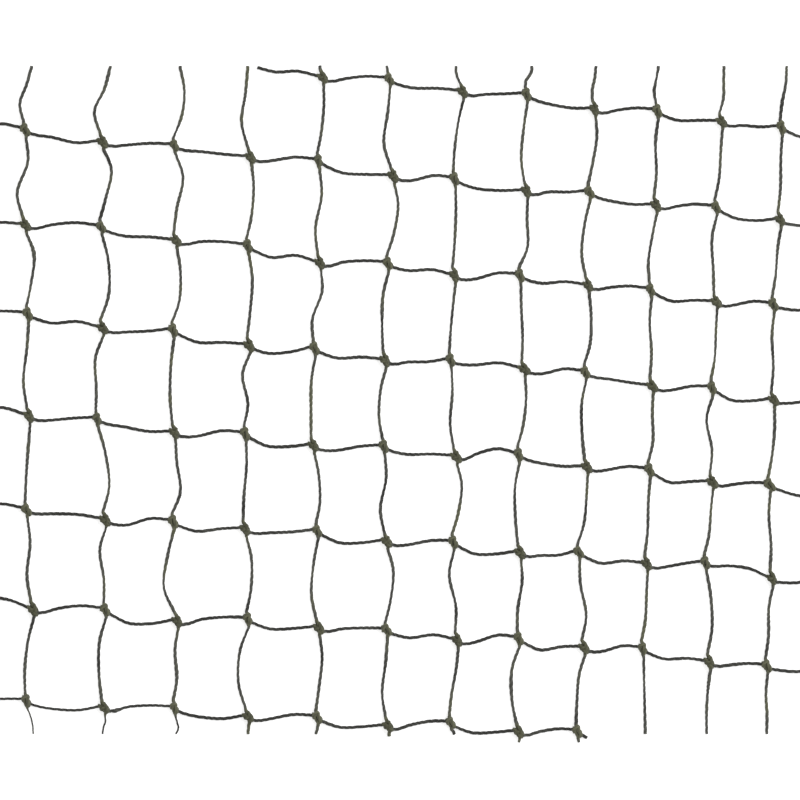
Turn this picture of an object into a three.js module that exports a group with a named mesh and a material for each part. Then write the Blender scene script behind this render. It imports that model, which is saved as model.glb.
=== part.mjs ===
import * as THREE from 'three';

// A cut length of knotted netting that lies flat, in millimetres. The middle of its outline is the origin.
// Legs that run across and legs that run along it meet in knots, and all of it is one solid.

// Where the piece is cut off.
const SIDE_CUT = 154;
const TOP_CUT = 126.75;
const TAIL_CUT = -123.75;
const SHORT_TAIL_CUT = -124.5;
const LOW_TAIL_CUT = -126.75;
const TOP_CORNER_CUT = { x: -53.5, y: 126.15 };
const TOP_CORNER_BENDS = [{ x: -46.5, y: 124.5 }, { x: -38.5, y: 124.8 }];
const LOOSE_END = { right: 3.6, down: 2.4 };

// The twine.
const CROSS_WIDTH = 1.15;
const LONG_WIDTH = 1.1;
const TWINE_THICKNESS = 1.1;
const CROSS_LEG_SEGMENTS = 6;
const LONG_LEG_SEGMENTS = 5;
const SHORT_LEG = 5;
const SHORT_LEG_SEGMENTS = 2;

// The knots: flat below, raised above, and legs that come down from them to the surface.
const KNOT_HEIGHT = 3.5;
const KNOT_CROWN_SHARE = 0.6;
const KNOT_FOOT_SHARE = 0.62;
const LEG_START_HEIGHT = 1.2;
const LEG_SETTLES_OVER = 6;
const KNOT_STAGGER = 0.8;
const LAST_COLUMN = 11;
const SIDES = ['right', 'up', 'left', 'down'];

// The corners of a leg's section, seen along it, and how a knot's flat foot and its crown are pulled in.
const RIGHT_LOW = 0;
const LEFT_LOW = 1;
const LEFT_HIGH = 2;
const RIGHT_HIGH = 3;
const FOOT = { height: 0, share: KNOT_FOOT_SHARE };
const CROWN = { height: KNOT_HEIGHT, share: KNOT_CROWN_SHARE };

// Knots are tied from the front and the back by turns, so their legs start in two ways.
const LEG_STARTS = {
  even: { up: [-0.8, 2.7], left: [-1.5, 0.4], right: [1.7, -1.5], down: [0.4, -2.9] },
  odd: { up: [-0.5, 2.7], left: [-1, 0.7], right: [1.1, -1.1], down: [0.35, -2.9] },
};
// How far a cross leg sags close to the knot it starts from, then dips below a straight line between the two
// knots at its first and second third.
const CROSS_DIPS = {
  even: { start: 0.35, first: 0.8, second: -0.4 },
  odd: { start: 0.3, first: 2.25, second: 0.9 },
};
const START_SAG_PLACE = 0.4;
const RIGHT_END_SAG = 0.5;
const LEFT_END_ARCH_SHARE = 0.2;

// Cross twines from the top: first and last knot, heights of the twine at its left, middle and right,
// how far its left end rises and its right end drops, each knot's lift, and each leg's own dip early and
// late on its way, at its first and second third.
const CROSS_TWINES = [
  {
    first: 4, last: 11, left: 136, middle: 120, right: 104.5, rise: 0, drop: 4.5,
    lift: [-1, -0.5, -0.5, -0.5, -1.5, -1, -0.5, -1.5],
    early: [-0.5, -0.5, 0, -0.5, -0.5, 0, 0],
    late: [-0.5, -0.5, 0.5, 0.5, -0.5, 0, 1],
  },
  {
    first: 0, last: 11, left: 102, middle: 85, right: 70.5, rise: 2.5, drop: 2,
    lift: [0, 0.5, 0.5, 1, 1, 0, 0, 0, 0.5, 0, 0, -0.5],
    early: [-1, 0, -1.5, 0, 0.5, 0.5, 0, -0.5, -0.5, -0.5, 0.5],
    late: [1, 0, -0.5, -0.5, 0.5, -0.5, 0.5, 0.5, 0.5, -0.5, 1],
  },
  {
    first: 0, last: 11, left: 68, middle: 50.5, right: 37, rise: 1, drop: 2,
    lift: [0, 1, 1, 0.5, -1, 0, 0, 1, 1.5, 0.5, 0, -0.5],
    early: [-1, -0.5, -1, 0, -1, -1, 0.5, -0.5, -0.5, 0.5, 0],
    late: [-1, -0.5, -0.5, -1.5, -0.5, -1.5, -0.5, -1, -0.5, 0, -0.5],
  },
  {
    first: 0, last: 11, left: 32.5, middle: 16.5, right: 3, rise: 1, drop: 0,
    lift: [0.5, 0, 0.5, -0.5, -0.5, -0.5, 0.5, 1.5, 1, 0, 0, -0.5],
    early: [-0.5, 0.5, 0.5, 2, 0, 0, -1.5, 0.5, -1.5, 0.5, 1],
    late: [-1.5, 1, 0, 2, -0.5, 1, -2, -0.5, -0.5, 0, 1],
  },
  {
    first: 0, last: 11, left: -3, middle: -18, right: -31, rise: 3.5, drop: 5,
    lift: [-0.5, -0.5, -1, -0.5, -0.5, 0, 0.5, 2, 1.5, 1, 0.5, 0],
    early: [0.5, -1, 0.5, 1, 1, -0.5, -1.5, -0.5, 0, 1, 0],
    late: [0.5, 0.5, -0.5, 1, 0.5, -0.5, -2, 0.5, -0.5, 0.5, 0],
  },
  {
    first: 0, last: 11, left: -40.5, middle: -51.5, right: -63.5, rise: 2.5, drop: 1,
    lift: [0, 0, -0.5, 0.5, 0, 0, 0, 0, 0.5, 0, 1, -1],
    early: [-2, 1, 0.5, 0.5, 1, 0.5, 1, 0.5, 0.5, 0.5, -3],
    late: [-1.5, -0.5, 0, 1, 1, 0, 1, 1.5, -0.5, 0.5, -2.5],
  },
  {
    first: 0, last: 11, left: -75.5, middle: -86.5, right: -98.5, rise: 4.5, drop: 2,
    lift: [-0.5, -0.5, -1, 0, 0.5, 0, 0, 1, 1.5, 1.5, 0.5, -0.5],
    early: [-1, 1.5, -1, 0.5, -0.5, -0.5, 0, 1, 0.5, 0, 0],
    late: [-1, 1.5, -0.5, 0.5, 0, -1.5, -1, 0, -0.5, -0.5, 0],
  },
  {
    first: 0, last: 8, left: -112, middle: -120, right: -129, rise: 0.5, drop: 0,
    lift: [0, 0.5, 0, 0, -0.5, -0.5, 0.5, 0.5, 0.5],
    early: [0, -1, 0, 0, 0.5, -0.5, 0.5, -0.5],
    late: [1, -0.5, 1, -0.5, 0.5, -0.5, 0.5, -0.5],
  },
];

// Long twines from the left: first knot's row, place across, how far its two ends lie off that place,
// where its tail is cut, each knot's swing, and each leg's bow to the right at its upper and lower third.
const LONG_TWINES = [
  {
    first: 1, across: -140, head: 2, foot: 2.5, tail: TAIL_CUT,
    swing: [-0.5, -0.5, 0.5, 1, 0, 2.5, 0],
    upper: [-1, 1, 3, -0.5, 0, 0.5, -1, 0.5],
    lower: [-2.5, -3, 1.5, -2, -0.5, -1.5, -1.5, 0.5],
  },
  {
    first: 1, across: -111.5, head: 3, foot: 0, tail: TAIL_CUT,
    swing: [0, -0.5, 0, -2, 1, 1, 0.5],
    upper: [-1, 3.5, 2.5, -2, 2, -2, -2, 0.5],
    lower: [-3.5, 1.5, 2.5, -1, 2.5, -0.5, -2, 0],
  },
  {
    first: 1, across: -85, head: 2.5, foot: 1, tail: TAIL_CUT,
    swing: [0.5, 1, 0, 0.5, 0, 1.5, 0.5],
    upper: [2.5, 3, 2, -1, 1, -2.5, -0.5, 0.5],
    lower: [2.5, 0.5, 2, -1.5, 2.5, -4.5, 0.5, 1],
  },
  {
    first: 1, across: -57, head: 0, foot: 0, tail: TAIL_CUT,
    swing: [1, 0, 0.5, -1, -1, 0, 0],
    upper: [-1, 1.5, 1.5, -2, 0.5, 2, -3, 0],
    lower: [-2.5, 1, 0.5, 0.5, -0.5, 1.5, -3.5, 0],
  },
  {
    first: 0, across: -31, head: 1, foot: -0.5, tail: TAIL_CUT,
    swing: [2, 0.5, 1, -1, -1.5, 0, 0.5, 0],
    upper: [0, 1, 1, 1.5, -1, 1.5, -1.5, 1.5, 0],
    lower: [0, 0.5, -1.5, -1.5, -1, 1.5, -2.5, 0.5, 0],
  },
  {
    first: 0, across: -4.5, head: -0.5, foot: 0.5, tail: SHORT_TAIL_CUT,
    swing: [0.5, 2, 0, -1, -1.5, -0.5, -0.5, 0],
    upper: [0, -1, 2.5, -1.5, -1.5, 0.5, 2.5, -0.5, 0],
    lower: [0, -3, 1.5, -1.5, -2, -2, 1.5, -2, 0],
  },
  {
    first: 0, across: 20.5, head: 0.5, foot: 0, tail: TAIL_CUT,
    swing: [3, 0, 0, -1.5, 0.5, -0.5, 1, -1.5],
    upper: [-0.5, -0.5, 0.5, 0, 0, 2.5, -2, 0.5, 0.5],
    lower: [-0.5, -1, 0, -0.5, -1.5, 1.5, 0, -0.5, 0],
  },
  {
    first: 0, across: 45.5, head: 4, foot: -1, tail: LOW_TAIL_CUT,
    swing: [2, 2, -0.5, 1, -1, -0.5, -1, -1],
    upper: [0.5, -1, 1, 0, 1.5, -1.5, 1, -2.5, 0],
    lower: [-0.5, -2, 2, 0, 1, -1.5, -0.5, -2.5, 0],
  },
  {
    first: 0, across: 69.5, head: 4, foot: -2.5, tail: LOW_TAIL_CUT,
    swing: [3.5, 1.5, 1, 0, 0.5, -2.5, -0.5, -3],
    upper: [0, 1.5, -1.5, 1.5, -1.5, 1, 0, -1, 0],
    lower: [-0.5, 0.5, -2.5, 1.5, -1.5, 1, 1.5, -1, 0],
  },
  {
    first: 0, across: 94, head: 3, foot: -2, tail: TAIL_CUT,
    swing: [2.5, 2, 0, 0.5, -0.5, -1.5, -3],
    upper: [-0.5, -0.5, -0.5, -0.5, 0.5, 0, 0.5, 0],
    lower: [-1, 0, -1.5, 0, 1, 0, 0.5, 0],
  },
  {
    first: 0, across: 117.5, head: 4, foot: -2.5, tail: TAIL_CUT,
    swing: [3, 1, 1, -0.5, -0.5, -3, -1.5],
    upper: [0.5, 0.5, -1.5, 0.5, -2, 0.5, 1.5, -0.5],
    lower: [1, 0.5, -1, 0.5, 0, 0.5, 1.5, -0.5],
  },
  {
    first: 0, across: 140, head: 5, foot: -2.5, tail: TAIL_CUT,
    swing: [3, 2.5, 0, 0, -1.5, -0.5, -2.5],
    upper: [0.5, 0, 0, -0.5, 1, -0.5, -0.5, -0.5],
    lower: [0, 0, 0, 0, 0.5, 0, 0, 0],
  },
];

// The solid's corners and faces.
const corners = [];
const faces = [];

function addCorner(x, y, z) {
  corners.push(new THREE.Vector3(x, y, z));
  return corners.length - 1;
}

function addTriangle(a, b, c) {
  faces.push(a, b, c);
}

function addQuad(a, b, c, d) {
  addTriangle(a, b, c);
  addTriangle(a, c, d);
}

// Knots, with the turn they were tied in and the leg ends that they take up.
function twineHeight(twine, column) {
  const place = (2 * column) / LAST_COLUMN - 1;
  const slope = (twine.right - twine.left) / 2;
  const bend = (twine.left + twine.right) / 2 - twine.middle;
  return twine.middle + slope * place + bend * place * place;
}

function makeKnot(row, column) {
  const cross = CROSS_TWINES[row];
  const long = LONG_TWINES[column];
  const turn = (row + column) % 2 === 0 ? 'even' : 'odd';
  const stagger = turn === 'even' ? -KNOT_STAGGER : KNOT_STAGGER;
  return {
    turn,
    x: long.across + long.swing[row - long.first],
    y: twineHeight(cross, column) + cross.lift[column - cross.first] + stagger,
    legEnds: {},
  };
}

const knots = CROSS_TWINES.map(({ first, last }, row) => LONG_TWINES.map((long, column) => {
  const isTied = column >= first && column <= last;
  return isTied ? makeKnot(row, column) : null;
}));

function legStart(knot, side) {
  const [right, up] = LEG_STARTS[knot.turn][side];
  return { x: knot.x + right, y: knot.y + up };
}

function between(from, to, share) {
  return { x: from.x + (to.x - from.x) * share, y: from.y + (to.y - from.y) * share };
}

// A leg follows a smooth path and comes down to the surface away from its knots.
function undersideAt(distance) {
  const share = Math.max(0, 1 - distance / LEG_SETTLES_OVER);
  return LEG_START_HEIGHT * share * share;
}

function addRing(point, heading, width, underside) {
  const acrossX = (-heading.y * width) / 2;
  const acrossY = (heading.x * width) / 2;
  const top = underside + TWINE_THICKNESS;
  return [
    addCorner(point.x - acrossX, point.y - acrossY, underside),
    addCorner(point.x + acrossX, point.y + acrossY, underside),
    addCorner(point.x + acrossX, point.y + acrossY, top),
    addCorner(point.x - acrossX, point.y - acrossY, top),
  ];
}

function addLeg({ path, width, fullSegments, startKnot, startSide, endKnot, endSide, cutHeading }) {
  const curve = new THREE.CatmullRomCurve3(path.map(({ x, y }) => new THREE.Vector3(x, y, 0)));
  const length = curve.getLength();
  const segments = length < SHORT_LEG ? SHORT_LEG_SEGMENTS : fullSegments;
  const rings = [];
  for (let step = 0; step <= segments; step += 1) {
    const share = step / segments;
    const isCut = (step === 0 && !startKnot) || (step === segments && !endKnot);
    const heading = isCut && cutHeading ? cutHeading : curve.getTangentAt(share);
    const fromStart = startKnot ? share * length : length;
    const fromEnd = endKnot ? (1 - share) * length : length;
    rings.push(addRing(curve.getPointAt(share), heading, width, undersideAt(Math.min(fromStart, fromEnd))));
  }
  for (let step = 0; step < segments; step += 1) {
    for (let side = 0; side < SIDES.length; side += 1) {
      const next = (side + 1) % SIDES.length;
      addQuad(rings[step][side], rings[step][next], rings[step + 1][next], rings[step + 1][side]);
    }
  }
  const [rightLow, leftLow, leftHigh, rightHigh] = rings[segments];
  if (startKnot) startKnot.legEnds[startSide] = rings[0];
  else addQuad(...rings[0].toReversed());
  if (endKnot) endKnot.legEnds[endSide] = [leftLow, rightLow, rightHigh, leftHigh];
  else addQuad(rightLow, leftLow, leftHigh, rightHigh);
}

// Cross legs, from the left end to the right end of each twine.
const AHEAD = { x: 1, y: 0 };
const DOWN = { x: 0, y: -1 };
const CROSS_LEG = { width: CROSS_WIDTH, fullSegments: CROSS_LEG_SEGMENTS };
const LONG_LEG = { width: LONG_WIDTH, fullSegments: LONG_LEG_SEGMENTS };

function addLeftEnd(cross, row, knot) {
  const stop = legStart(knot, 'left');
  const end = { x: -SIDE_CUT, y: knot.y + cross.rise };
  const middle = between(end, stop, 1 / 2);
  middle.y += cross.rise * LEFT_END_ARCH_SHARE;
  const atTop = row === 0;
  const path = atTop ? [TOP_CORNER_CUT, ...TOP_CORNER_BENDS, stop] : [end, middle, stop];
  const cutHeading = atTop ? undefined : AHEAD;
  addLeg({ ...CROSS_LEG, path, endKnot: knot, endSide: 'left', cutHeading });
}

function addRightEnd(cross, knot) {
  const start = legStart(knot, 'right');
  const isLoose = cross.last < LAST_COLUMN;
  const end = isLoose
    ? { x: knot.x + LOOSE_END.right, y: knot.y - LOOSE_END.down }
    : { x: SIDE_CUT, y: knot.y - cross.drop };
  const middle = between(start, end, 1 / 2);
  if (!isLoose) middle.y -= RIGHT_END_SAG;
  const cutHeading = isLoose ? undefined : AHEAD;
  addLeg({ ...CROSS_LEG, path: [start, middle, end], startKnot: knot, startSide: 'right', cutHeading });
}

function addCrossLeg(from, to, early, late) {
  const dips = CROSS_DIPS[from.turn];
  const start = legStart(from, 'right');
  const stop = legStart(to, 'left');
  const first = between(from, to, 1 / 3);
  const second = between(from, to, 2 / 3);
  first.y -= dips.first + early;
  second.y -= dips.second + late;
  const sag = between(start, first, START_SAG_PLACE);
  sag.y -= dips.start;
  addLeg({
    ...CROSS_LEG,
    path: [start, sag, first, second, stop],
    startKnot: from,
    startSide: 'right',
    endKnot: to,
    endSide: 'left',
  });
}

CROSS_TWINES.forEach((cross, row) => {
  addLeftEnd(cross, row, knots[row][cross.first]);
  cross.early.forEach((early, leg) => {
    const column = cross.first + leg;
    addCrossLeg(knots[row][column], knots[row][column + 1], early, cross.late[leg]);
  });
  addRightEnd(cross, knots[row][cross.last]);
});

// Long legs, from the top end to the tail of each twine.
LONG_TWINES.forEach((long, column) => {
  const own = long.swing.map((swing, index) => knots[long.first + index][column]);
  const head = { x: long.across + long.head, y: TOP_CUT };
  const foot = { x: long.across + long.foot, y: long.tail };
  long.upper.forEach((upper, leg) => {
    const above = own[leg - 1];
    const below = own[leg];
    const start = above ? legStart(above, 'down') : head;
    const stop = below ? legStart(below, 'up') : foot;
    const isInside = above && below;
    const [from, to] = isInside ? [above, below] : [start, stop];
    const first = between(from, to, 1 / 3);
    const second = between(from, to, 2 / 3);
    first.x += upper;
    second.x += long.lower[leg];
    addLeg({
      ...LONG_LEG,
      path: [start, first, second, stop],
      startKnot: above,
      startSide: 'down',
      endKnot: below,
      endSide: 'up',
      cutHeading: DOWN,
    });
  });
});

// A knot is closed between its four leg ends, with a flat foot on the surface and a raised crown.
function pulledIn(knot, a, b, { share, height }) {
  const { x, y } = between(knot, between(corners[a], corners[b], 1 / 2), share);
  return addCorner(x, y, height);
}

function addKnot(knot) {
  const ends = SIDES.map((side) => knot.legEnds[side]);
  const nextTo = (index) => (index + 1) % ends.length;
  const after = (index) => ends[nextTo(index)];
  const foot = ends.map((end, index) => pulledIn(knot, end[LEFT_LOW], after(index)[RIGHT_LOW], FOOT));
  const crown = ends.map((end, index) => pulledIn(knot, end[LEFT_HIGH], after(index)[RIGHT_HIGH], CROWN));
  ends.forEach((end, index) => {
    const next = after(index);
    addQuad(end[LEFT_LOW], next[RIGHT_LOW], next[RIGHT_HIGH], end[LEFT_HIGH]);
    addTriangle(end[LEFT_HIGH], next[RIGHT_HIGH], crown[index]);
    addTriangle(next[RIGHT_LOW], end[LEFT_LOW], foot[index]);
    addQuad(next[RIGHT_HIGH], next[LEFT_HIGH], crown[nextTo(index)], crown[index]);
    addQuad(next[LEFT_LOW], next[RIGHT_LOW], foot[index], foot[nextTo(index)]);
  });
  addQuad(crown[0], crown[1], crown[2], crown[3]);
  addQuad(foot[3], foot[2], foot[1], foot[0]);
}

knots.flat().filter(Boolean).forEach(addKnot);

const geometry = new THREE.BufferGeometry().setFromPoints(corners);
geometry.setIndex(faces);
geometry.computeVertexNormals();

const twine = new THREE.MeshStandardMaterial({ color: 0x3c3d31, roughness: 0.9, metalness: 0 });
const net = new THREE.Mesh(geometry, twine);
net.name = 'net';

const part = new THREE.Group();
part.name = 'protective_net';
part.add(net);

export default part;
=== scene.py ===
import math
from functools import partial

import bpy
import numpy as np
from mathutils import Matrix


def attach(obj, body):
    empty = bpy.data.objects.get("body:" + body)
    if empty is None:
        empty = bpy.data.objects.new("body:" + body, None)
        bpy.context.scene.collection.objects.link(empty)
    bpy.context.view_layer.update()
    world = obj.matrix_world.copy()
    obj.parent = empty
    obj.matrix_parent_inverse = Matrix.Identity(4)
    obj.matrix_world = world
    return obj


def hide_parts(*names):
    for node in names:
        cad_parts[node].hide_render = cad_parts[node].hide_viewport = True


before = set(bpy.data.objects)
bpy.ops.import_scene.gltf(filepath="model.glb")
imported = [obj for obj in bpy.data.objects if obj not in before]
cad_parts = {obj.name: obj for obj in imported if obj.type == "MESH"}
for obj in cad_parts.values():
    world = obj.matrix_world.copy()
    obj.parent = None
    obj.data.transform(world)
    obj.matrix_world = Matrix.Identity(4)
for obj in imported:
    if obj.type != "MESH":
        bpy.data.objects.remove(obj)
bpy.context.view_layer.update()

bpy.ops.object.select_all(action="DESELECT")

MM = 0.001

# Columns of a line of twine: its place, with its height last, then its finish, which is its radius, its wear,
# which also carries painted light, and its unevenness. A finished twine has its twist in place of its
# unevenness.
PLACE = slice(0, 3)
FINISH = slice(3, 6)
HEIGHT = 2
RADIUS = 3
WEAR_AND_PAINTED_LIGHT = 4
TWIST = 5

# The net is a cut length of knotted netting that lies flat. Its sizes are in millimetres: where its sides,
# its top and its tails are cut, the cut end and the bends of the top cross twine, and how far the lowest
# cross twine reaches past its last knot. Columns of knots are counted from 0.
SIDE_CUT = 154
TOP_CUT = 126.75
TAIL_CUT = -123.75
SHORT_TAIL_CUT = -124.5
LOW_TAIL_CUT = -126.75
TOP_CORNER_CUT = (-53.5, 126.15)
TOP_CORNER_BENDS = [(-46.5, 124.5), (-38.5, 124.8)]
LOOSE_END = (3.6, -2.4)
LAST_COLUMN = 11

# The twine's width as it is seen: a little more across the net than along it, and more again in knots.
CROSS_WIDTH = 1.15
LONG_WIDTH = 1.1
KNOT_WIDTH = 1.4

# Its plies, laid together with a groove between each and the next. The groove's radius is a share of the
# radius of the round that the plies fill, and the twine is seen narrower than that round.
PLY_COUNT = 3
POINTS_PER_PLY = 5
GROOVE_RADIUS = 0.7
SEEN_WIDTH_SHARE = 0.86
PLY_PITCH = 7.5
SMOOTH_ANGLE = 50

# The steps along a twine in its legs and its knots, and the points of a curve from one guide to the next.
LEG_STEP = 0.33
KNOT_STEP = 0.25
POINTS_PER_SPAN = 24

# Frayed stretches at the lower left corner, as shares of the full width: tails by their column, and cross
# legs by the row and column of the knot on their left, or -1 for the cut end there.
FRAYED_TAILS = {0: 0.62, 1: 0.62, 2: 0.7}
FRAYED_CROSS_LEGS = {(7, -1): 0.8, (7, 0): 0.8, (7, 1): 0.85}

# A short lump of loose fibres on one frayed leg: how far along it lies, how long it is to each side, how
# much thicker it is than the leg, and its wear.
FRAYED_LUMPS = {(7, 1): dict(along=3, reach=1.1, swell=0.75, wear_and_painted_light=0.5)}

# How far the dark dye has worn, with painted light in it: hardly on cross legs, and more on long legs, which
# are painted lighter than the cross legs of the same twine, as light on their sides would show them. Knots
# are rubbed the most, and wear set past full wear paints shade onto them, which darkens them again.
CROSS_WEAR_AND_PAINTED_LIGHT = 0.1
LONG_WEAR_AND_PAINTED_LIGHT = 0.5
FULL_WEAR = 1

# How uneven the twine's thickness is, as a share of it, how many times more uneven its wear is, how uneven
# its twist is, in radians, and over what length all these change.
CROSS_UNEVENNESS = 0.05
LONG_UNEVENNESS = 0.12
KNOT_UNEVENNESS = 0.03
WEAR_UNEVENNESS = 2
TWIST_UNEVENNESS = 0.7
UNEVEN_OVER = 5

# How far knots differ from each other: in their turn on the net, in degrees, and in their size.
KNOT_TURN_UNEVENNESS = 7
KNOT_SIZE_UNEVENNESS = 0.06

# Legs come down from the middle of a knot to the surface over a short way.
LEG_START_HEIGHT = 1.1
LEG_SETTLES_OVER = 6

# Knots are tied from the front and the back by turns: where their legs start, how steeply they lean down to
# the right, in degrees, and which face is up. A tight knot is narrowed across its lean, squeezed across and
# along the net, and shifted, and its twine is worn; where that wear is set past full wear, it paints shade
# onto the knot. Its right leg sags close to the knot, then dips at its first and second third.
TURNS = {
    "even": dict(
        up=(-0.8, 2.7), left=(-1.5, 0.4), right=(1.7, -1.5), down=(0.4, -2.9),
        # Wear set past full wear paints shade onto these knots.
        lean=48, face=1, narrowness=0.75, squeeze=(0.72, 1.0), shift=(0.1, 0.5), wear_and_painted_light=1.3,
        start_sag=0.35, first_dip=0.8, second_dip=-0.4,
    ),
    "odd": dict(
        up=(-0.5, 2.7), left=(-1.0, 0.7), right=(1.1, -1.1), down=(0.35, -2.9),
        lean=62, face=-1, narrowness=0.7, squeeze=(0.7, 0.95), shift=(0.05, 0.2), wear_and_painted_light=1,
        start_sag=0.3, first_dip=2.25, second_dip=0.9,
    ),
}

# Even knots lie this much below the line of their cross twine, and odd ones as much above it.
KNOT_STAGGER = 0.8

# Where a right leg sags, as a share of the way to its first third, the sag of the right cut ends, and the
# share of a left cut end's rise by which it arches.
START_SAG_PLACE = 0.4
RIGHT_END_SAG = 0.5
LEFT_END_ARCH_SHARE = 0.2

# Cross twines from the top: first and last knot, heights at the left, middle and right, how far the left
# end rises and the right end drops, each knot's lift, and each leg's own dip early and late on its way.
CROSS_TWINES = [
    dict(
        first=4, last=11, left=136, middle=120, right=104.5, rise=0, drop=4.5,
        lift=[-1, -0.5, -0.5, -0.5, -1.5, -1, -0.5, -1.5],
        early=[-0.5, -0.5, 0, -0.5, -0.5, 0, 0],
        late=[-0.5, -0.5, 0.5, 0.5, -0.5, 0, 1],
    ),
    dict(
        first=0, last=11, left=102, middle=85, right=70.5, rise=2.5, drop=2,
        lift=[0, 0.5, 0.5, 1, 1, 0, 0, 0, 0.5, 0, 0, -0.5],
        early=[-1, 0, -1.5, 0, 0.5, 0.5, 0, -0.5, -0.5, -0.5, 0.5],
        late=[1, 0, -0.5, -0.5, 0.5, -0.5, 0.5, 0.5, 0.5, -0.5, 1],
    ),
    dict(
        first=0, last=11, left=68, middle=50.5, right=37, rise=1, drop=2,
        lift=[0, 1, 1, 0.5, -1, 0, 0, 1, 1.5, 0.5, 0, -0.5],
        early=[-1, -0.5, -1, 0, -1, -1, 0.5, -0.5, -0.5, 0.5, 0],
        late=[-1, -0.5, -0.5, -1.5, -0.5, -1.5, -0.5, -1, -0.5, 0, -0.5],
    ),
    dict(
        first=0, last=11, left=32.5, middle=16.5, right=3, rise=1, drop=0,
        lift=[0.5, 0, 0.5, -0.5, -0.5, -0.5, 0.5, 1.5, 1, 0, 0, -0.5],
        early=[-0.5, 0.5, 0.5, 2, 0, 0, -1.5, 0.5, -1.5, 0.5, 1],
        late=[-1.5, 1, 0, 2, -0.5, 1, -2, -0.5, -0.5, 0, 1],
    ),
    dict(
        first=0, last=11, left=-3, middle=-18, right=-31, rise=3.5, drop=5,
        lift=[-0.5, -0.5, -1, -0.5, -0.5, 0, 0.5, 2, 1.5, 1, 0.5, 0],
        early=[0.5, -1, 0.5, 1, 1, -0.5, -1.5, -0.5, 0, 1, 0],
        late=[0.5, 0.5, -0.5, 1, 0.5, -0.5, -2, 0.5, -0.5, 0.5, 0],
    ),
    dict(
        first=0, last=11, left=-40.5, middle=-51.5, right=-63.5, rise=2.5, drop=1,
        lift=[0, 0, -0.5, 0.5, 0, 0, 0, 0, 0.5, 0, 1, -1],
        early=[-2, 1, 0.5, 0.5, 1, 0.5, 1, 0.5, 0.5, 0.5, -3],
        late=[-1.5, -0.5, 0, 1, 1, 0, 1, 1.5, -0.5, 0.5, -2.5],
    ),
    dict(
        first=0, last=11, left=-75.5, middle=-86.5, right=-98.5, rise=4.5, drop=2,
        lift=[-0.5, -0.5, -1, 0, 0.5, 0, 0, 1, 1.5, 1.5, 0.5, -0.5],
        early=[-1, 1.5, -1, 0.5, -0.5, -0.5, 0, 1, 0.5, 0, 0],
        late=[-1, 1.5, -0.5, 0.5, 0, -1.5, -1, 0, -0.5, -0.5, 0],
    ),
    dict(
        first=0, last=8, left=-112, middle=-120, right=-129, rise=0.5, drop=0,
        lift=[0, 0.5, 0, 0, -0.5, -0.5, 0.5, 0.5, 0.5],
        early=[0, -1, 0, 0, 0.5, -0.5, 0.5, -0.5],
        late=[1, -0.5, 1, -0.5, 0.5, -0.5, 0.5, -0.5],
    ),
]

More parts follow.
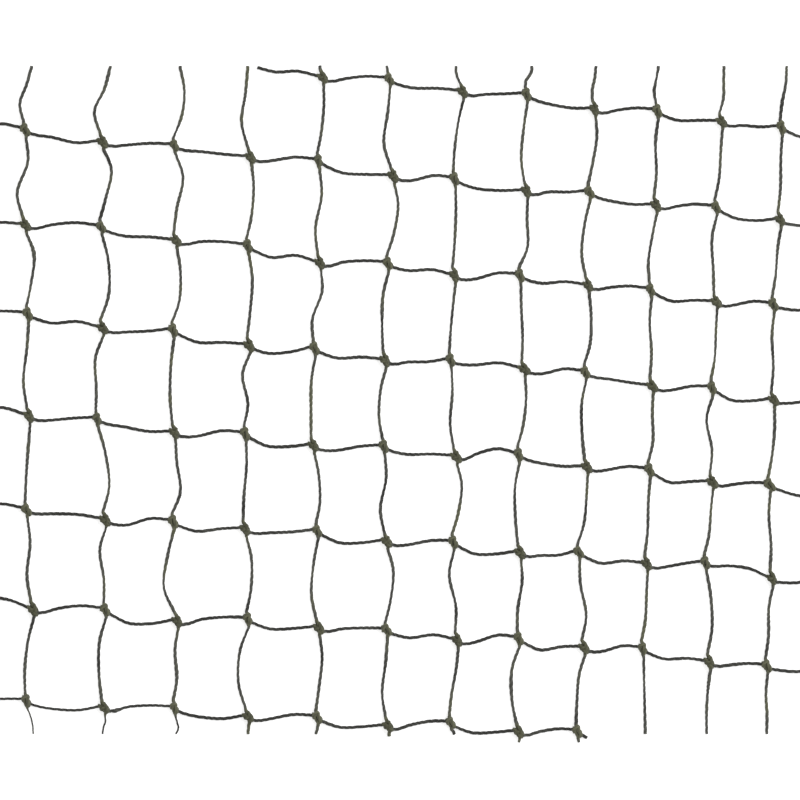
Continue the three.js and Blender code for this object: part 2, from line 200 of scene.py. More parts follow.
# Long twines from the left: first knot's row, place across, how far the two ends lie off that place, where
# the tail is cut, each knot's swing, and each leg's bow to the right at its upper and lower third.
LONG_TWINES = [
    dict(
        first=1, across=-140, head=2, foot=2.5, tail=TAIL_CUT,
        swing=[-0.5, -0.5, 0.5, 1, 0, 2.5, 0],
        upper=[-1, 1, 3, -0.5, 0, 0.5, -1, 0.5],
        lower=[-2.5, -3, 1.5, -2, -0.5, -1.5, -1.5, 0.5],
    ),
    dict(
        first=1, across=-111.5, head=3, foot=0, tail=TAIL_CUT,
        swing=[0, -0.5, 0, -2, 1, 1, 0.5],
        upper=[-1, 3.5, 2.5, -2, 2, -2, -2, 0.5],
        lower=[-3.5, 1.5, 2.5, -1, 2.5, -0.5, -2, 0],
    ),
    dict(
        first=1, across=-85, head=2.5, foot=1, tail=TAIL_CUT,
        swing=[0.5, 1, 0, 0.5, 0, 1.5, 0.5],
        upper=[2.5, 3, 2, -1, 1, -2.5, -0.5, 0.5],
        lower=[2.5, 0.5, 2, -1.5, 2.5, -4.5, 0.5, 1],
    ),
    dict(
        first=1, across=-57, head=0, foot=0, tail=TAIL_CUT,
        swing=[1, 0, 0.5, -1, -1, 0, 0],
        upper=[-1, 1.5, 1.5, -2, 0.5, 2, -3, 0],
        lower=[-2.5, 1, 0.5, 0.5, -0.5, 1.5, -3.5, 0],
    ),
    dict(
        first=0, across=-31, head=1, foot=-0.5, tail=TAIL_CUT,
        swing=[2, 0.5, 1, -1, -1.5, 0, 0.5, 0],
        upper=[0, 1, 1, 1.5, -1, 1.5, -1.5, 1.5, 0],
        lower=[0, 0.5, -1.5, -1.5, -1, 1.5, -2.5, 0.5, 0],
    ),
    dict(
        first=0, across=-4.5, head=-0.5, foot=0.5, tail=SHORT_TAIL_CUT,
        swing=[0.5, 2, 0, -1, -1.5, -0.5, -0.5, 0],
        upper=[0, -1, 2.5, -1.5, -1.5, 0.5, 2.5, -0.5, 0],
        lower=[0, -3, 1.5, -1.5, -2, -2, 1.5, -2, 0],
    ),
    dict(
        first=0, across=20.5, head=0.5, foot=0, tail=TAIL_CUT,
        swing=[3, 0, 0, -1.5, 0.5, -0.5, 1, -1.5],
        upper=[-0.5, -0.5, 0.5, 0, 0, 2.5, -2, 0.5, 0.5],
        lower=[-0.5, -1, 0, -0.5, -1.5, 1.5, 0, -0.5, 0],
    ),
    dict(
        first=0, across=45.5, head=4, foot=-1, tail=LOW_TAIL_CUT,
        swing=[2, 2, -0.5, 1, -1, -0.5, -1, -1],
        upper=[0.5, -1, 1, 0, 1.5, -1.5, 1, -2.5, 0],
        lower=[-0.5, -2, 2, 0, 1, -1.5, -0.5, -2.5, 0],
    ),
    dict(
        first=0, across=69.5, head=4, foot=-2.5, tail=LOW_TAIL_CUT,
        swing=[3.5, 1.5, 1, 0, 0.5, -2.5, -0.5, -3],
        upper=[0, 1.5, -1.5, 1.5, -1.5, 1, 0, -1, 0],
        lower=[-0.5, 0.5, -2.5, 1.5, -1.5, 1, 1.5, -1, 0],
    ),
    dict(
        first=0, across=94, head=3, foot=-2, tail=TAIL_CUT,
        swing=[2.5, 2, 0, 0.5, -0.5, -1.5, -3],
        upper=[-0.5, -0.5, -0.5, -0.5, 0.5, 0, 0.5, 0],
        lower=[-1, 0, -1.5, 0, 1, 0, 0.5, 0],
    ),
    dict(
        first=0, across=117.5, head=4, foot=-2.5, tail=TAIL_CUT,
        swing=[3, 1, 1, -0.5, -0.5, -3, -1.5],
        upper=[0.5, 0.5, -1.5, 0.5, -2, 0.5, 1.5, -0.5],
        lower=[1, 0.5, -1, 0.5, 0, 0.5, 1.5, -0.5],
    ),
    dict(
        first=0, across=140, head=5, foot=-2.5, tail=TAIL_CUT,
        swing=[3, 2.5, 0, 0, -1.5, -0.5, -2.5],
        upper=[0.5, 0, 0, -0.5, 1, -0.5, -0.5, -0.5],
        lower=[0, 0, 0, 0, 0.5, 0, 0, 0],
    ),
]

# A knot before it is pulled tight: places along its lean, across it to the upper right, and above its middle.
# The bight runs from the left leg to the up leg.
LOOSE_BIGHT = [
    (-2.2, -1.2, 0.0),
    (0.0, -1.9, 0.0),
    (1.9, -1.5, 0.5),
    (2.6, 0.0, 0.0),
    (1.9, 1.5, -0.5),
    (0.0, 1.9, 0.0),
    (-2.2, 1.2, 0.0),
]
# The wrap runs from the down leg under the bight's end, up through it, round its neck, under itself and
# out over the bight's end to the right leg.
LOOSE_WRAP = [
    (2.8, -1.0, -1.2),
    (1.5, -0.6, 0.0),
    (0.5, 0.6, 2.2),
    (-0.3, 1.9, 1.8),
    (-1.5, 2.9, 0.0),
    (-1.8, 1.2, -1.6),
    (-1.8, -1.2, -1.6),
    (-1.3, -2.9, 0.0),
    (-0.4, -1.9, 1.5),
    (0.5, 0.6, 0.6),
    (2.2, 1.2, 1.2),
]

# How a knot is pulled tight: pulls along its strands, each followed by presses that push their middle lines
# towards a contact's width apart. Points that are close along one strand don't press each other.
TIGHTENING_PULLS = 400
PULL_SHARE = 0.6
PRESSES_PER_PULL = 2
PRESS_SHARE = 0.5
KNOT_CONTACT = 1.05
SMALLEST_GAP = 0.001
OWN_BEND_REACH = 5

# The loose knot's height is drawn in over these pulls, but not below the height of the tight one.
FLATTENING_PULLS = 200
LOOSE_HALF_HEIGHT = 2.4
KNOT_HALF_HEIGHT = 0.95

# How a line of points is eased: a tight knot, the joins between runs, and the finish along a twine.
EASING_SHARE = 0.5
KNOT_EASING_PASSES = 6
JOIN_EASING_PASSES = 2
FINISH_EASING_PASSES = 8

# The length of strand over which a leg's start passes into the pressed body of its knot.
KNOT_BODY_INSET = 1.5


# Smooth lines through given points.
def distance_along(line):
    steps = np.linalg.norm(np.diff(line, axis=0), axis=1)
    return np.concatenate([[0.0], np.cumsum(steps)])


def evenly_spaced(line, step):
    along = distance_along(line)
    count = max(2, round(along[-1] / step)) + 1
    places = np.linspace(0, along[-1], count)
    return np.column_stack([np.interp(places, along, column) for column in line.T])


def smooth_line(points, step):
    """Evenly spaced points on the centripetal curve through the given ones."""
    points = np.asarray(points, float)
    guides = np.vstack([2 * points[0] - points[1], points, 2 * points[-1] - points[-2]])
    share = np.linspace(0, 1, POINTS_PER_SPAN, endpoint=False)[:, None]
    runs = []
    for before, start, stop, after in zip(guides, guides[1:], guides[2:], guides[3:]):
        reach_in = math.sqrt(np.linalg.norm(start - before))
        reach = math.sqrt(np.linalg.norm(stop - start))
        reach_out = math.sqrt(np.linalg.norm(after - stop))
        chord = (stop - start) / reach
        leave = (start - before) / reach_in - (stop - before) / (reach_in + reach) + chord
        arrive = chord - (after - start) / (reach + reach_out) + (after - stop) / reach_out
        leave = leave * reach
        arrive = arrive * reach
        square = 3 * (stop - start) - 2 * leave - arrive
        cube = 2 * (start - stop) + leave + arrive
        runs.append(start + leave * share + square * share**2 + cube * share**3)
    runs.append(points[-1:])
    return evenly_spaced(np.vstack(runs), step)


# The knots' places on the net.
def twine_height(cross, column):
    place = 2 * column / LAST_COLUMN - 1
    slope = (cross["right"] - cross["left"]) / 2
    bend = (cross["left"] + cross["right"]) / 2 - cross["middle"]
    return cross["middle"] + slope * place + bend * place**2


def knot_turn(row, column):
    return "even" if (row + column) % 2 == 0 else "odd"


def knot_place(row, column):
    cross = CROSS_TWINES[row]
    long = LONG_TWINES[column]
    stagger = -KNOT_STAGGER if knot_turn(row, column) == "even" else KNOT_STAGGER
    x = long["across"] + long["swing"][row - long["first"]]
    y = twine_height(cross, column) + cross["lift"][column - cross["first"]] + stagger
    return np.array([x, y])


knots = {}
for row, cross in enumerate(CROSS_TWINES):
    for column in range(cross["first"], cross["last"] + 1):
        knots[row, column] = knot_place(row, column)


def leg_start(knot, side):
    return knots[knot] + np.array(TURNS[knot_turn(*knot)][side])


# Knots are pulled tight once for each turn, then laid in place.
def press_apart(strands, half_height):
    """Moves points of twine that lie inside each other apart."""
    points = np.vstack(strands)
    strand = np.concatenate([np.full(len(line), number) for number, line in enumerate(strands)])
    order = np.concatenate([np.arange(len(line)) for line in strands])
    apart = points[:, None] - points[None]
    gap = np.linalg.norm(apart, axis=2)
    is_neighbour = (strand[:, None] == strand[None]) & (np.abs(order[:, None] - order[None]) < OWN_BEND_REACH)
    overlap = np.where(is_neighbour, 0, np.maximum(KNOT_CONTACT - gap, 0))
    push = (apart / np.maximum(gap, SMALLEST_GAP)[..., None] * overlap[..., None]).sum(axis=1)
    contacts = np.maximum((overlap > 0).sum(axis=1), 1)
    points = points + PRESS_SHARE * push / np.sqrt(contacts)[:, None]
    points[:, HEIGHT] = np.clip(points[:, HEIGHT], -half_height, half_height)
    pressed = np.split(points, np.cumsum([len(line) for line in strands])[:-1])
    for line, moved in zip(strands, pressed):
        moved[0] = line[0]
        moved[-1] = line[-1]
    return pressed


def pull(line, share):
    """Draws each point of a line, but not its two ends, towards the middle of its neighbours."""
    pulled = line.copy()
    pulled[1:-1] += share * ((line[:-2] + line[2:]) / 2 - line[1:-1])
    return pulled


def eased(columns, passes):
    for step in range(passes):
        columns = pull(columns, EASING_SHARE)
    return columns


def across_lean(style):
    """The direction across a knot's lean, to its upper right."""
    lean = math.radians(style["lean"])
    return np.array([math.sin(lean), math.cos(lean)])


def tie_knot(turn):
    """The bight and the wrap of a knot, pulled tight between the places where its legs start."""
    style = TURNS[turn]
    right, up = across_lean(style)

    def laid(loose, start, stop):
        inner = [(u * up + v * right, v * up - u * right, w * style["face"]) for u, v, w in loose]
        return smooth_line([(*style[start], 0), *inner, (*style[stop], 0)], KNOT_STEP)

    strands = [laid(LOOSE_BIGHT, "left", "up"), laid(LOOSE_WRAP, "down", "right")]
    for step in range(TIGHTENING_PULLS):
        half_height = max(KNOT_HALF_HEIGHT, LOOSE_HALF_HEIGHT * (1 - step / FLATTENING_PULLS))
        strands = [pull(evenly_spaced(line, KNOT_STEP), PULL_SHARE) for line in strands]
        for press in range(PRESSES_PER_PULL):
            strands = press_apart(strands, half_height)
    bight, wrap = [eased(line, KNOT_EASING_PASSES) for line in strands]
    return {"bight": bight, "wrap": wrap}


def settled(line, style, turn_by, size):
    """Presses a strand of a tight knot together and moves it to the knot's middle, but not its two ends."""
    along = distance_along(line)
    from_ends = np.minimum(along, along[-1] - along)
    share = np.clip(from_ends / KNOT_BODY_INSET, 0, 1)[:, None]
    across = across_lean(style)
    body = line[:, :2] + np.outer(line[:, :2] @ across, across) * (style["narrowness"] - 1)
    body = body * np.array(style["squeeze"]) * size
    cosine, sine = math.cos(turn_by), math.sin(turn_by)
    body = body @ np.array([[cosine, sine], [-sine, cosine]]) + np.array(style["shift"])
    moved = np.column_stack([body, line[:, HEIGHT]])
    return line + (moved - line) * share


tied = {turn: tie_knot(turn) for turn in TURNS}
knot_draws = np.random.default_rng(len(knots)).normal(size=(len(CROSS_TWINES), len(LONG_TWINES), 2))


# Runs of twine: x, y, height, radius, wear with painted light, and unevenness at each point.
def with_finish(line, radius, wear_and_painted_light, unevenness):
    finish = np.tile((radius, wear_and_painted_light, unevenness), (len(line), 1))
    return np.hstack([line, finish])


def leg_run(path, width, finish, starts_in_knot, ends_in_knot):
    line = smooth_line(path, LEG_STEP)
    along = distance_along(line)
    from_start = along if starts_in_knot else np.full(len(line), along[-1])
    from_end = along[-1] - along if ends_in_knot else np.full(len(line), along[-1])
    rise = np.clip(1 - np.minimum(from_start, from_end) / LEG_SETTLES_OVER, 0, None)
    radius = width / 2 / SEEN_WIDTH_SHARE
    height = LEG_START_HEIGHT * rise**2 + radius
    return with_finish(np.column_stack([line, height]), radius, *finish)


def with_lump(run, lump):
    """Swells a run of twine where its own loose fibres have gathered."""
    off_middle = (distance_along(run[:, PLACE]) - lump["along"]) / lump["reach"]
    share = np.exp(-off_middle**2)
    change = run[:, RADIUS] * lump["swell"] * share
    run[:, HEIGHT] += change
    run[:, RADIUS] += change
    run[:, WEAR_AND_PAINTED_LIGHT] += (lump["wear_and_painted_light"] - run[:, WEAR_AND_PAINTED_LIGHT]) * share
    return run


def knot_run(knot, strand):
    turn = knot_turn(*knot)
    style = TURNS[turn]
    turn_draw, size_draw = knot_draws[knot]
    turn_by = math.radians(KNOT_TURN_UNEVENNESS) * turn_draw
    line = settled(tied[turn][strand], style, turn_by, 1 + KNOT_SIZE_UNEVENNESS * size_draw)
    radius = KNOT_WIDTH / 2 / SEEN_WIDTH_SHARE
    middle = KNOT_HALF_HEIGHT + radius
    return with_finish(line[1:-1] + (*knots[knot], middle), radius, style["wear_and_painted_light"], KNOT_UNEVENNESS)


CROSS_FINISH = (CROSS_WEAR_AND_PAINTED_LIGHT, CROSS_UNEVENNESS)
LONG_FINISH = (LONG_WEAR_AND_PAINTED_LIGHT, LONG_UNEVENNESS)


def between(start, stop, share):
    return start + (stop - start) * share


def left_end(row):
    cross = CROSS_TWINES[row]
    knot = (row, cross["first"])
    stop = leg_start(knot, "left")
    if row == 0:
        return leg_run([TOP_CORNER_CUT, *TOP_CORNER_BENDS, stop], CROSS_WIDTH, CROSS_FINISH, False, True)
    end = np.array([-SIDE_CUT, knots[knot][1] + cross["rise"]])
    middle = between(end, stop, 1 / 2) + np.array([0, cross["rise"] * LEFT_END_ARCH_SHARE])
    width = CROSS_WIDTH * FRAYED_CROSS_LEGS.get((row, -1), 1)
    return leg_run([end, middle, stop], width, CROSS_FINISH, False, True)


def right_leg(knot):
    """The leg from a knot to the next one on its right, or to the cut end there."""
    row, column = knot
    cross = CROSS_TWINES[row]
    start = leg_start(knot, "right")
    following = (row, column + 1)
    if following in knots:
        style = TURNS[knot_turn(row, column)]
        leg = column - cross["first"]
        first = between(knots[knot], knots[following], 1 / 3)
        second = between(knots[knot], knots[following], 2 / 3)
        first[1] -= style["first_dip"] + cross["early"][leg]
        second[1] -= style["second_dip"] + cross["late"][leg]
        width = CROSS_WIDTH * FRAYED_CROSS_LEGS.get(knot, 1)
        sag = between(start, first, START_SAG_PLACE) - np.array([0, style["start_sag"]])
        path = [start, sag, first, second, leg_start(following, "left")]
        run = leg_run(path, width, CROSS_FINISH, True, True)
        return with_lump(run, FRAYED_LUMPS[knot]) if knot in FRAYED_LUMPS else run
    if cross["last"] < LAST_COLUMN:
        end = knots[knot] + np.array(LOOSE_END)
        end_sag = 0
    else:
        end = np.array([SIDE_CUT, knots[knot][1] - cross["drop"]])
        end_sag = RIGHT_END_SAG
    middle = between(start, end, 1 / 2) - np.array([0, end_sag])
    return leg_run([start, middle, end], CROSS_WIDTH, CROSS_FINISH, True, False)


def long_leg(column, leg):
    """A leg of a long twine, from its lower end to its upper end."""
    long = LONG_TWINES[column]
    above = (long["first"] + leg - 1, column)
    below = (long["first"] + leg, column)
    head = np.array([long["across"] + long["head"], TOP_CUT])
    foot = np.array([long["across"] + long["foot"], long["tail"]])
    start = leg_start(above, "down") if above in knots else head
    stop = leg_start(below, "up") if below in knots else foot
    is_inside = above in knots and below in knots
    line_start, line_stop = (knots[above], knots[below]) if is_inside else (start, stop)
    first = between(line_start, line_stop, 1 / 3)
    second = between(line_start, line_stop, 2 / 3)
    first[0] += long["upper"][leg]
    second[0] += long["lower"][leg]
    width = LONG_WIDTH if below in knots else LONG_WIDTH * FRAYED_TAILS.get(column, 1)
    run = leg_run([start, first, second, stop], width, LONG_FINISH, above in knots, below in knots)
    return run[::-1]


def up_leg(knot):
    row, column = knot
    return long_leg(column, row - LONG_TWINES[column]["first"])


def tail_leg(column):
    return long_leg(column, len(LONG_TWINES[column]["swing"]))


def whole_twine(first_run, knot, arrives_from):
    """One twine, which climbs the net in steps: a bight takes it up, and a wrap takes it right."""
    runs = [first_run]
    while knot in knots:
        row, column = knot
        if arrives_from == "left":
            runs += [knot_run(knot, "bight"), up_leg(knot)]
            knot = (row - 1, column)
            arrives_from = "down"
        else:
            runs += [knot_run(knot, "wrap"), right_leg(knot)]
            knot = (row, column + 1)
            arrives_from = "left"
    return np.vstack(runs)


def drift(along, draws):
    """A smooth random change along a twine, mostly within one either way."""
    count = int(along[-1] / UNEVEN_OVER) + 2
    return np.interp(along / UNEVEN_OVER, np.arange(count), draws.normal(size=count))


def finished_twine(run, number):
    """Eases joins between runs and makes the twine uneven: x, y, height, radius, wear with painted light,
    twist.
    """
    place = eased(run[:, PLACE], JOIN_EASING_PASSES)
    radius, wear_and_painted_light, unevenness = eased(run[:, FINISH], FINISH_EASING_PASSES).T
    along = distance_along(place)
    draws = np.random.default_rng(number)
    change = radius * unevenness * drift(along, draws)
    radius = radius + change
    place[:, HEIGHT] += change
    wear_and_painted_light = wear_and_painted_light + WEAR_UNEVENNESS * unevenness * drift(along, draws)
    twist = along / PLY_PITCH * math.tau + TWIST_UNEVENNESS * drift(along, draws)
    return np.column_stack([place, radius, wear_and_painted_light, eased(twist[:, None], FINISH_EASING_PASSES)])


runs = []
for row, cross in enumerate(CROSS_TWINES):
    runs.append(whole_twine(left_end(row), (row, cross["first"]), "left"))
for column, long in enumerate(LONG_TWINES):
    lowest = (long["first"] + len(long["swing"]) - 1, column)
    runs.append(whole_twine(tail_leg(column), lowest, "down"))
twines = [finished_twine(run, number) for number, run in enumerate(runs)]


def add_node(tree, kind, **settings):
    """Adds a node with its settings to a tree of geometry or shader nodes."""
    made = tree.nodes.new(kind)
    for name, value in settings.items():
        setattr(made, name, value)
    return made


# The plies are laid along each twine's line by Geometry Nodes.
def lay_of_plies():
    tree = bpy.data.node_groups.new("lay_of_plies", "GeometryNodeTree")
    tree.interface.new_socket("Geometry", in_out="INPUT", socket_type="NodeSocketGeometry")
    tree.interface.new_socket("Geometry", in_out="OUTPUT", socket_type="NodeSocketGeometry")
    link = tree.links.new
    node = partial(add_node, tree)

    def named(attribute):
        made = node("GeometryNodeInputNamedAttribute", data_type="FLOAT")
        made.inputs["Name"].default_value = attribute
        return made.outputs["Attribute"]

    start = node("NodeGroupInput")
    finish = node("NodeGroupOutput")

    # The line of each twine, with its twist.
    line = node("GeometryNodeMeshToCurve")
    tilt = node("GeometryNodeSetCurveTilt")
    link(start.outputs["Geometry"], line.inputs["Mesh"])
    link(line.outputs["Curve"], tilt.inputs["Curve"])
    link(named("twist"), tilt.inputs["Tilt"])

    # The section: a round with a groove between each ply and the next.
    round_section = node("GeometryNodeCurvePrimitiveCircle", mode="RADIUS")
    round_section.inputs["Resolution"].default_value = PLY_COUNT * POINTS_PER_PLY
    round_section.inputs["Radius"].default_value = 1
    angle = node("ShaderNodeMath", operation="MULTIPLY")
    angle.inputs[1].default_value = math.pi / POINTS_PER_PLY
    wave = node("ShaderNodeMath", operation="COSINE")
    ridge = node("ShaderNodeMath", operation="ABSOLUTE")
    reach = node("ShaderNodeMath", operation="MULTIPLY_ADD")
    reach.inputs[1].default_value = 1 - GROOVE_RADIUS
    reach.inputs[2].default_value = GROOVE_RADIUS
    drawn = node("ShaderNodeVectorMath", operation="SCALE")
    grooved = node("GeometryNodeSetPosition")
    link(node("GeometryNodeInputIndex").outputs["Index"], angle.inputs[0])
    link(angle.outputs[0], wave.inputs[0])
    link(wave.outputs[0], ridge.inputs[0])
    link(ridge.outputs[0], reach.inputs[0])
    link(node("GeometryNodeInputPosition").outputs["Position"], drawn.inputs[0])
    link(reach.outputs[0], drawn.inputs["Scale"])
    link(round_section.outputs["Curve"], grooved.inputs["Geometry"])
    link(drawn.outputs["Vector"], grooved.inputs["Position"])

    # Each point keeps its place in the section, for the fibres of the material.
    kept = node("GeometryNodeStoreNamedAttribute", data_type="FLOAT_VECTOR", domain="POINT")
    kept.inputs["Name"].default_value = "section"
    link(grooved.outputs["Geometry"], kept.inputs["Geometry"])
    link(node("GeometryNodeInputPosition").outputs["Position"], kept.inputs["Value"])

    laid = node("GeometryNodeCurveToMesh")
    laid.inputs["Fill Caps"].default_value = True
    link(tilt.outputs["Curve"], laid.inputs["Curve"])
    link(named("radius_of_twine"), laid.inputs["Scale"])
    link(kept.outputs["Geometry"], laid.inputs["Profile Curve"])
    link(laid.outputs["Mesh"], finish.inputs["Geometry"])
    return tree


plies = lay_of_plies()


def make_twines(name, group, material):
    """A piece of the net: the lines of its twines, with the plies laid along them."""
    points = np.vstack(group)
    along = np.concatenate([distance_along(twine[:, PLACE]) for twine in group])
    ends = np.cumsum([len(twine) for twine in group])
    starts = np.arange(len(points) - 1)
    starts = starts[~np.isin(starts + 1, ends)]
    edges = np.column_stack([starts, starts + 1])
    mesh = bpy.data.meshes.new(name)
    mesh.from_pydata((points[:, PLACE] * MM).tolist(), edges.tolist(), [])
    # Wear carries painted light too: long legs set lighter than cross legs, and painted shade past full wear.
    values = {
        "radius_of_twine": points[:, RADIUS] * MM,
        "twist": points[:, TWIST],
        "wear_and_painted_light": points[:, WEAR_AND_PAINTED_LIGHT],
        "along": along * MM,
    }
    for attribute, numbers in values.items():
        mesh.attributes.new(attribute, "FLOAT", "POINT").data.foreach_set("value", numbers)
    piece = bpy.data.objects.new(name, mesh)
    bpy.context.collection.objects.link(piece)
    bpy.ops.object.select_all(action="DESELECT")
    piece.select_set(True)
    bpy.context.view_layer.objects.active = piece
    modifier = piece.modifiers.new("plies", "NODES")
    modifier.node_group = plies
    bpy.ops.object.modifier_apply(modifier=modifier.name)
    bpy.ops.object.shade_smooth_by_angle(angle=math.radians(SMOOTH_ANGLE))
    piece.data.materials.append(material)
    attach(piece, "root")
    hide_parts("net")


# The twine's finish: dark dye that has worn to olive on the ridges and the knots, over fine fibres.
DYE_DARK = (0.032, 0.032, 0.028, 1)
DYE_FADED = (0.084, 0.085, 0.074, 1)
DYE_WORN = (0.117, 0.120, 0.072, 1)
FADED_AT = 0.5
GLOSS = 0.25
SHEEN = 0.05
SHEEN_ROUGHNESS = 0.6

# The scale of the fibres, to the metre along the twine and across its section, and how strongly and how deep,
# in metres, they are raised. Then the scale of the worn patches on the net, to the metre.
FIBRES_ALONG = 900
FIBRES_ACROSS = 7
FIBRE_DETAIL = 3
FIBRE_RELIEF = 0.6
FIBRE_DEPTH = 0.00008
PATCH_SCALE = 140
PATCH_DETAIL = 2

# What patches and ridges add to the wear, how fibres vary the tone, how the ridge mask paints shade into the
# grooves and a highlight onto the ridges, how wear past full wear paints shade, and how rough the fibres are.
PATCH_WEAR = dict(gain=0.5, base=-0.25)
RIDGE_WEAR = dict(gain=0.3, base=-0.2)
FIBRE_SHADE = dict(gain=0.9, base=0.55)
PAINTED_RIDGE_LIGHT = dict(gain=0.45, base=0.7)
PAINTED_SHADE_PAST_FULL_WEAR = dict(gain=-1, base=1)
FIBRE_ROUGHNESS = dict(gain=0.3, base=0.65)


def twine_finish():
    material = bpy.data.materials.new("twine_dark_olive")
    material.use_nodes = True
    tree = material.node_tree
    link = tree.links.new
    node = partial(add_node, tree)
    shader = tree.nodes["Principled BSDF"]
    shader.inputs["Specular IOR Level"].default_value = GLOSS
    shader.inputs["Sheen Weight"].default_value = SHEEN
    shader.inputs["Sheen Roughness"].default_value = SHEEN_ROUGHNESS

    def attribute(name):
        return node("ShaderNodeAttribute", attribute_type="GEOMETRY", attribute_name=name)

    def math_node(operation, first, second):
        made = node("ShaderNodeMath", operation=operation)
        link(first, made.inputs[0])
        if isinstance(second, (int, float)):
            made.inputs[1].default_value = second
        else:
            link(second, made.inputs[1])
        return made.outputs[0]

    def scaled(value, gain, base):
        made = math_node("MULTIPLY_ADD", value, gain)
        made.node.inputs[2].default_value = base
        return made

    # Fibres run along the plies: a fine noise on each point's place in the section and along the twine.
    section = attribute("section").outputs["Vector"]
    along = attribute("along").outputs["Fac"]
    drawn_out = node("ShaderNodeCombineXYZ")
    link(math_node("MULTIPLY", along, FIBRES_ALONG), drawn_out.inputs["Z"])
    lay = node("ShaderNodeVectorMath", operation="MULTIPLY_ADD")
    lay.inputs[1].default_value = (FIBRES_ACROSS, FIBRES_ACROSS, 0)
    link(section, lay.inputs[0])
    link(drawn_out.outputs["Vector"], lay.inputs[2])
    fibres = node("ShaderNodeTexNoise")
    fibres.inputs["Scale"].default_value = 1
    fibres.inputs["Detail"].default_value = FIBRE_DETAIL
    link(lay.outputs["Vector"], fibres.inputs["Vector"])

    # Ridges of the plies are rubbed; the same mask paints shade into the grooves and highlight onto the
    # ridges.
    reach = node("ShaderNodeVectorMath", operation="LENGTH")
    link(section, reach.inputs[0])
    ridge = node("ShaderNodeMapRange")
    ridge.inputs["From Min"].default_value = GROOVE_RADIUS
    ridge.inputs["From Max"].default_value = 1
    link(reach.outputs["Value"], ridge.inputs["Value"])

    # Wear is uneven from place to place.
    place = node("ShaderNodeTexCoord")
    patches = node("ShaderNodeTexNoise")
    patches.inputs["Scale"].default_value = PATCH_SCALE
    patches.inputs["Detail"].default_value = PATCH_DETAIL
    link(place.outputs["Object"], patches.inputs["Vector"])
    # The wear attribute also carries painted light: lighter long legs, and painted shade past full wear.
    wear_and_painted_light = attribute("wear_and_painted_light").outputs["Fac"]
    uneven = scaled(patches.outputs["Fac"], **PATCH_WEAR)
    rubbed = scaled(ridge.outputs["Result"], **RIDGE_WEAR)
    worn_and_painted_light = math_node("ADD", wear_and_painted_light, math_node("ADD", uneven, rubbed))
    worn_and_painted_light.node.use_clamp = True
    colour = node("ShaderNodeValToRGB")
    colour.color_ramp.elements[0].color = DYE_DARK
    colour.color_ramp.elements[1].color = DYE_WORN
    colour.color_ramp.elements.new(FADED_AT).color = DYE_FADED
    link(worn_and_painted_light, colour.inputs["Fac"])

    # Fibres vary the colour's tone. Painted shade darkens the grooves and a painted highlight lightens the
    # ridges, and wear set past full wear, as on knots, paints more shade.
    fibre_shade = scaled(fibres.outputs["Fac"], **FIBRE_SHADE)
    # Painted shade in the grooves and a painted highlight on the ridges.
    painted_ridge_light = scaled(ridge.outputs["Result"], **PAINTED_RIDGE_LIGHT)
    # Painted shade: wear set past full wear darkens the colour.
    painted_shade_share = math_node("SUBTRACT", wear_and_painted_light, FULL_WEAR)
    painted_shade_share.node.use_clamp = True
    painted_shade_past_full_wear = scaled(painted_shade_share, **PAINTED_SHADE_PAST_FULL_WEAR)
    tone_and_painted_shade = math_node("MULTIPLY", math_node("MULTIPLY", fibre_shade, painted_ridge_light), painted_shade_past_full_wear)
    tinted = node("ShaderNodeVectorMath", operation="SCALE")
    link(colour.outputs["Color"], tinted.inputs[0])
    link(tone_and_painted_shade, tinted.inputs["Scale"])
    link(tinted.outputs["Vector"], shader.inputs["Base Color"])

    # The fibres are rough and a little raised.
    link(scaled(fibres.outputs["Fac"], **FIBRE_ROUGHNESS), shader.inputs["Roughness"])
    bump = node("ShaderNodeBump")
    bump.inputs["Strength"].default_value = FIBRE_RELIEF
    bump.inputs["Distance"].default_value = FIBRE_DEPTH
    link(fibres.outputs["Fac"], bump.inputs["Height"])
    link(bump.outputs["Normal"], shader.inputs["Normal"])
    return material


twine_dark_olive = twine_finish()

# The twines are joined in a few pieces: first those that start at a cross twine's left end, from the top,
# then those that start at a tail, from the left.
PIECES = 6
points_in_all = sum(len(twine) for twine in twines)
groups = [[] for piece in range(PIECES)]
points_so_far = 0
for twine in twines:
    groups[min(PIECES - 1, points_so_far * PIECES // points_in_all)].append(twine)
    points_so_far += len(twine)
for number, group in enumerate(groups):
    make_twines(f"net_twines_{number + 1}", group, twine_dark_olive)

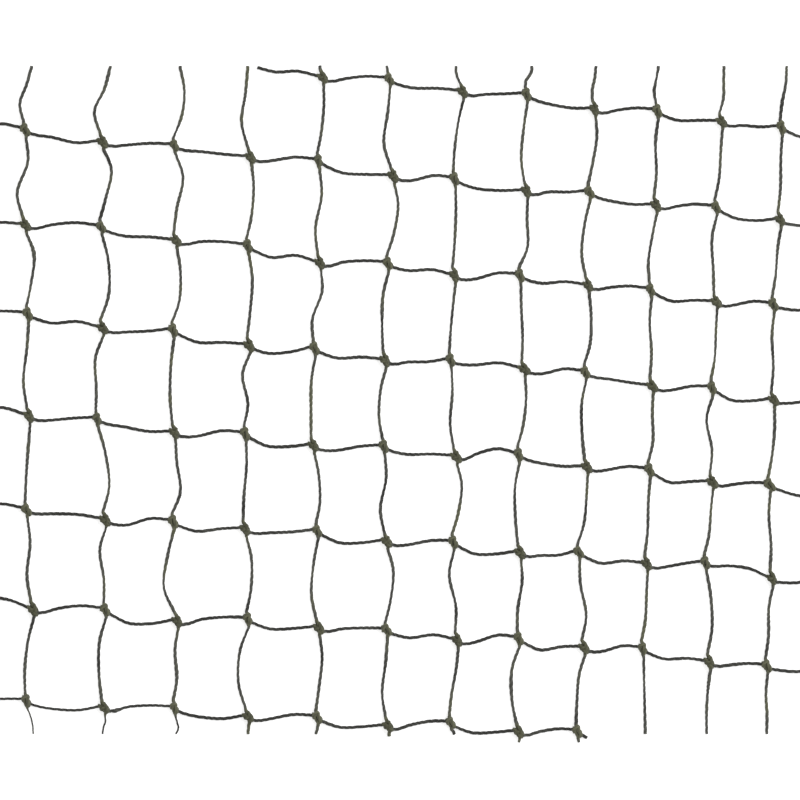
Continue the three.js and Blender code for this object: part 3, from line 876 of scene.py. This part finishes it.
# A plain white floor under the net, with its sizes in metres.
FLOOR_SIZE = 12
FLOOR_GAP = 0.00005
FLOOR_COLOUR = (0.86, 0.86, 0.86, 1)
FLOOR_ROUGHNESS = 0.9
FLOOR_GLOW = 0.6
WHITE = (1, 1, 1, 1)
bpy.ops.mesh.primitive_plane_add(size=FLOOR_SIZE, location=(0, 0, -FLOOR_GAP))
floor = bpy.context.active_object
floor.name = "floor"
floor_white = bpy.data.materials.new("floor_white")
floor_white.use_nodes = True
floor_shader = floor_white.node_tree.nodes["Principled BSDF"]
floor_shader.inputs["Base Color"].default_value = FLOOR_COLOUR
floor_shader.inputs["Roughness"].default_value = FLOOR_ROUGHNESS
floor_shader.inputs["Emission Color"].default_value = WHITE
floor_shader.inputs["Emission Strength"].default_value = FLOOR_GLOW
floor.data.materials.append(floor_white)

# Soft studio light: an even white room and a large lamp from the upper right.
ROOM_STRENGTH = 0.55
LAMP_PLACE = (1.5, 0.9, 2.2)
LAMP_SIZE = 1.4
LAMP_POWER = 45
scene = bpy.context.scene
room = bpy.data.worlds.new("white_room")
room.use_nodes = True
background = room.node_tree.nodes["Background"]
background.inputs["Color"].default_value = WHITE
background.inputs["Strength"].default_value = ROOM_STRENGTH
scene.world = room
bpy.ops.object.light_add(type="AREA", location=LAMP_PLACE)
lamp = bpy.context.active_object
lamp.name = "soft_lamp"
lamp.data.size = LAMP_SIZE
lamp.data.energy = LAMP_POWER
lamp.rotation_euler = lamp.location.to_track_quat("Z", "Y").to_euler()

# The camera looks straight down, with a long lens, at the middle of the picture's frame, in metres. Its
# sensor is in millimetres.
FRAME_WIDTH = 0.300
FRAME_MIDDLE = (0.0, 0.0015)
CAMERA_HEIGHT = 3.0
SENSOR_WIDTH = 36
VIEW_DEPTH = 50
bpy.ops.object.camera_add(location=(*FRAME_MIDDLE, CAMERA_HEIGHT), rotation=(0, 0, 0))
camera = bpy.context.active_object
camera.data.sensor_width = SENSOR_WIDTH
camera.data.lens = SENSOR_WIDTH * CAMERA_HEIGHT / FRAME_WIDTH
camera.data.clip_end = VIEW_DEPTH
scene.camera = camera
scene.view_settings.view_transform = "Standard"
